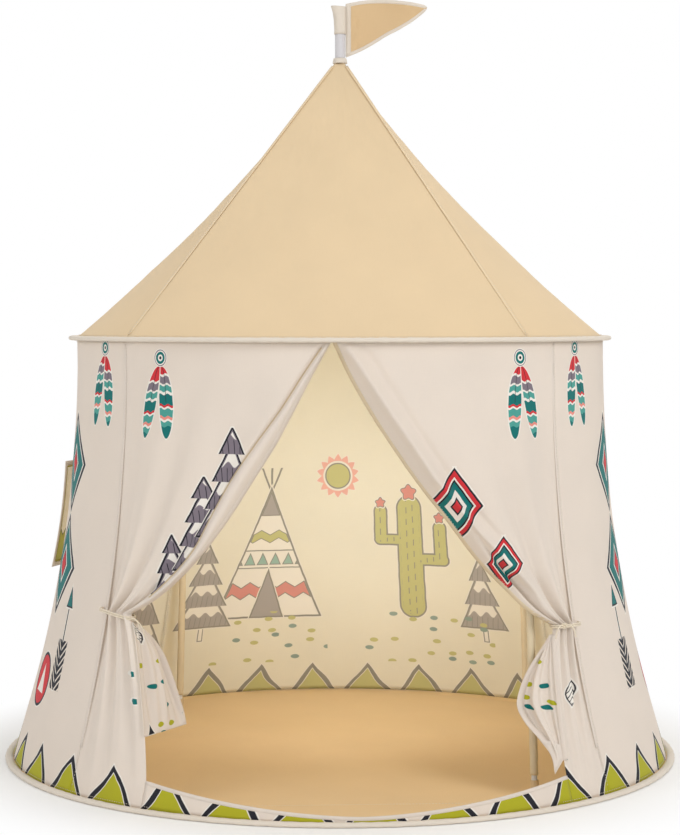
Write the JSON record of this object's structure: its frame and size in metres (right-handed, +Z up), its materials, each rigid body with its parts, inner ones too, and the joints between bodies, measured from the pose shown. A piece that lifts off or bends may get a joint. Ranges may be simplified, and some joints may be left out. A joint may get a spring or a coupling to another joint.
{
  "type": "children's round play tent",
  "caption": "Round cloth play tent for children with a peaked roof, tied-back door curtains, a side window flap and a flag on top.",
  "frame": {"origin": "on the floor, at the middle of the base hoop", "axes": "+Z up, -Y out of the door, +X to the right for someone who looks at the door"},
  "size_m": [1.1978, 1.1978, 1.3483],
  "materials": {
    "wall_cloth": "matte",
    "roof_cloth": "matte",
    "floor_cloth": "matte",
    "binding_cloth": "matte",
    "flag_cloth": "matte",
    "pole_tube": "satin",
    "hoop_rod": "satin",
    "bright_steel": "satin",
    "connector_plastic": "satin",
    "foot_rubber": "matte",
    "flag_tube_plastic": "satin"
  },
  "bodies": {
    "tent": {"floor_mat": "floor_cloth", "base_piping": "binding_cloth", "eaves_piping": "binding_cloth", "base_hoop": "hoop_rod", "base_hoop_ferrule": "bright_steel", "eaves_hoop": "hoop_rod", "eaves_hoop_ferrule": "bright_steel", "left_wall": "wall_cloth", "back_wall": "wall_cloth", "right_wall": "wall_cloth", "left_curtain": "wall_cloth", "right_curtain": "wall_cloth", "left_tie": "binding_cloth", "right_tie": "binding_cloth", "door_sill": "wall_cloth", "roof_left": "roof_cloth", "roof_front": "roof_cloth", "roof_right": "roof_cloth", "roof_back": "roof_cloth", "foot_cap_back_left": "foot_rubber", "foot_cap_front_left": "foot_rubber", "foot_cap_front_right": "foot_rubber", "foot_cap_back_right": "foot_rubber", "leg_lower_back_left": "pole_tube", "leg_lower_front_left": "pole_tube", "leg_lower_front_right": "pole_tube", "leg_lower_back_right": "pole_tube", "leg_upper_back_left": "pole_tube", "leg_upper_front_left": "pole_tube", "leg_upper_front_right": "pole_tube", "leg_upper_back_right": "pole_tube", "leg_joiner_back_left": "bright_steel", "leg_joiner_front_left": "bright_steel", "leg_joiner_front_right": "bright_steel", "leg_joiner_back_right": "bright_steel", "pole_sleeve_back_left": "wall_cloth", "pole_sleeve_front_left": "wall_cloth", "pole_sleeve_front_right": "wall_cloth", "pole_sleeve_back_right": "wall_cloth", "eaves_elbow_back_left": "connector_plastic", "eaves_elbow_front_left": "connector_plastic", "eaves_elbow_front_right": "connector_plastic", "eaves_elbow_back_right": "connector_plastic", "rafter_back_left": "pole_tube", "rafter_front_left": "pole_tube", "rafter_front_right": "pole_tube", "rafter_back_right": "pole_tube", "peak_hub": "connector_plastic", "peak_collar": "binding_cloth"},
    "flag_tube": {"flag_tube": "flag_tube_plastic"},
    "flag": {"flag_sleeve": "binding_cloth", "flag_pennant": "flag_cloth"},
    "window_flap": {"window_flap": "wall_cloth"},
    "left_tail": {"left_curtain_tail": "wall_cloth"},
    "right_tail": {"right_curtain_tail": "wall_cloth"}
  },
  "joints": [
    {"name": "flag_lift", "type": "slide", "parent": "tent", "child": "flag_tube", "axis": [0, 0, 1], "range_m": [0, 0.055]},
    {"name": "flag_swivel", "type": "hinge", "parent": "flag_tube", "child": "flag", "pos_m": [0, 0, 1.3], "axis": [0, 0, 1], "continuous": true},
    {"name": "window_flap_swing", "type": "hinge", "parent": "tent", "child": "window_flap", "pos_m": [-0.4496, 0.2325, 0.323], "axis": [-0.1177, 0.0609, -0.9912], "range_deg": [-5, 120]},
    {"name": "left_tail_sway", "type": "hinge", "parent": "tent", "child": "left_tail", "pos_m": [-0.3373, -0.3812, 0.3], "axis": [-0.17, 0.3944, 0.9031], "range_deg": [-30, 15]},
    {"name": "right_tail_sway", "type": "hinge", "parent": "tent", "child": "right_tail", "pos_m": [0.346, -0.3776, 0.28], "axis": [0.0057, -0.3069, -0.9517], "range_deg": [-30, 5]}
  ]
}
